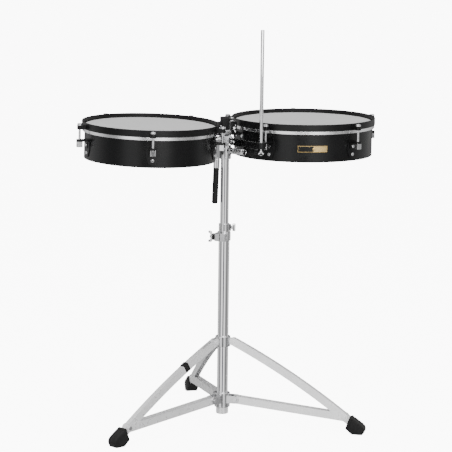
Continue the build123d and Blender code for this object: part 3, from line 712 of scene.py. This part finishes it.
def build_floor(half=70.0):
    mesh = bpy.data.meshes.new("floor")
    mesh.from_pydata([(-half, -half, 0), (half, -half, 0), (half, half, 0), (-half, half, 0)],
                     [], [(0, 1, 2, 3)])
    floor = bpy.data.objects.new("floor", mesh)
    bpy.context.scene.collection.objects.link(floor)
    material = bpy.data.materials.new("floor_pale")
    shader = Shader(material, "ShaderNodeOutputMaterial")
    diffuse = shader.node("ShaderNodeBsdfDiffuse", {0: (0.86, 0.86, 0.86)})
    emission = shader.node("ShaderNodeEmission", {0: (1, 1, 1)})
    rays = shader.node("ShaderNodeLightPath").outputs
    shader.feed(emission, {1: shader.mul(rays["Is Camera Ray"], WHITE_GLOW)})
    lit = shader.node("ShaderNodeAddShader", {0: diffuse.outputs[0], 1: emission.outputs[0]})
    # polished metal sees the studio walls right down to the floor line
    clear = shader.node("ShaderNodeBsdfTransparent")
    choice = shader.node("ShaderNodeMixShader", {
        0: rays["Is Glossy Ray"], 1: lit.outputs[0], 2: clear.outputs[0]})
    shader.feed(shader.output, {0: choice.outputs[0]})
    mesh.materials.append(material)


build_floor()


def to_row(vector):
    """Camera-aligned axes (X right, Y away from the camera) to the row frame."""
    x, y, z = vector
    cos, sin = math.cos(VIEW_TURN), math.sin(VIEW_TURN)
    return Vector((x * cos + y * sin, -x * sin + y * cos, z))


# ---------------------------------------------------------------- studio world
# Brightness the metal sees round the studio, as (share of a turn, value); 0.5 is towards the
# camera, more is to its right. Dark at the camera, with a wide soft box on each side of it.
STUDIO = [(0.0, 0.12), (0.06, 0.3), (0.12, 1.1), (0.22, 1.5), (0.30, 0.45), (0.355, 0.6),
          (0.39, 2.4), (0.450, 2.6), (0.470, 0.16), (0.518, 0.16), (0.538, 2.4), (0.585, 2.4),
          (0.63, 0.55), (0.72, 0.35), (0.78, 1.2), (0.90, 1.0), (0.95, 0.25), (1.0, 0.12)]
STUDIO_GLOW = 5.0       # the ramp holds brightness as a share of this
AMBIENT = 0.75          # what diffuse surfaces see


def build_world():
    world = bpy.data.worlds.new("studio")
    bpy.context.scene.world = world
    shader = Shader(world, "ShaderNodeOutputWorld")
    mul = shader.mul
    background = shader.node("ShaderNodeBackground")
    direction = shader.node("ShaderNodeTexCoord").outputs["Generated"]
    direction = shader.mapping(direction, rotation=(0, 0, VIEW_TURN))
    axes = shader.node("ShaderNodeSeparateXYZ", {0: direction}).outputs
    heading = shader.calc("ARCTAN2", axes["X"], mul(axes["Y"], -1.0))
    turn = shader.add(mul(heading, 1 / (2 * math.pi)), 0.5)
    band = shader.ramp(turn, [(share, value / STUDIO_GLOW) for share, value in STUDIO])
    height = shader.add(mul(axes["Z"], 0.5), 0.5)
    lift = shader.ramp(height, [(0.45, 0.7), (0.55, 0.9), (0.75, 0.9), (0.85, 1.0)])
    studio = mul(mul(band, STUDIO_GLOW), lift)
    rays = shader.node("ShaderNodeLightPath").outputs
    seen = shader.mix(rays["Is Glossy Ray"], (AMBIENT,) * 3, studio)
    seen = shader.mix(rays["Is Camera Ray"], seen, (WHITE_GLOW,) * 3)
    shader.feed(background, {0: seen, 1: 1.0})
    shader.feed(shader.output, {0: background.outputs[0]})


build_world()


# ---------------------------------------------------------------- lights
def soft_light(name, target, offset, size, power, size_y=None):
    """Area light aimed at target (m), offset from it in metres on the camera-aligned axes."""
    light = bpy.data.lights.new(name, "AREA")
    light.shape = "RECTANGLE"
    light.size, light.size_y = size, size_y or size
    light.energy = power
    lamp = bpy.data.objects.new(name, light)
    bpy.context.scene.collection.objects.link(lamp)
    spot = target + to_row(offset)
    lamp.location = spot
    lamp.rotation_mode = "QUATERNION"
    lamp.rotation_quaternion = (target - spot).to_track_quat("-Z", "Y")


middle = place(0, 0, 600)
soft_light("key", middle, offset=(-2.2, -2.6, 2.6), size=2.4, power=70)
soft_light("fill", middle, offset=(3.0, -2.0, 1.4), size=2.0, power=45)
soft_light("top", middle, offset=(0, 0, 3.0), size=3.2, power=60)
soft_light("low", place(0, 0, 120), offset=(0.4, -2.6, 0.9), size=1.6, power=26, size_y=0.7)

# ---------------------------------------------------------------- camera
CAMERA_DISTANCE, CAMERA_HEIGHT = 5652.24, 1463.46
PITCH, YAW, ROLL = 0.16602, 0.00082, 0.01177        # radians; pitch is downward


def build_camera():
    forward = Vector((math.sin(YAW) * math.cos(PITCH), math.cos(YAW) * math.cos(PITCH),
                      -math.sin(PITCH)))
    level = Vector((math.cos(YAW), -math.sin(YAW), 0))
    upward = level.cross(forward)
    right = level * math.cos(ROLL) + upward * math.sin(ROLL)
    top = upward * math.cos(ROLL) - level * math.sin(ROLL)
    lens = bpy.data.cameras.new("camera")
    lens.sensor_width = 36.0
    lens.lens = 178.519779
    lens.clip_start, lens.clip_end = 0.1, 200.0
    camera = bpy.data.objects.new("camera", lens)
    bpy.context.scene.collection.objects.link(camera)
    matrix = Matrix((to_row(right), to_row(top), -to_row(forward))).transposed().to_4x4()
    matrix.translation = (place(0, 0, 0) + to_row((0, -CAMERA_DISTANCE * MILLI, 0))
                          + Vector((0, 0, CAMERA_HEIGHT * MILLI)))
    camera.matrix_world = matrix
    bpy.context.scene.camera = camera


build_camera()
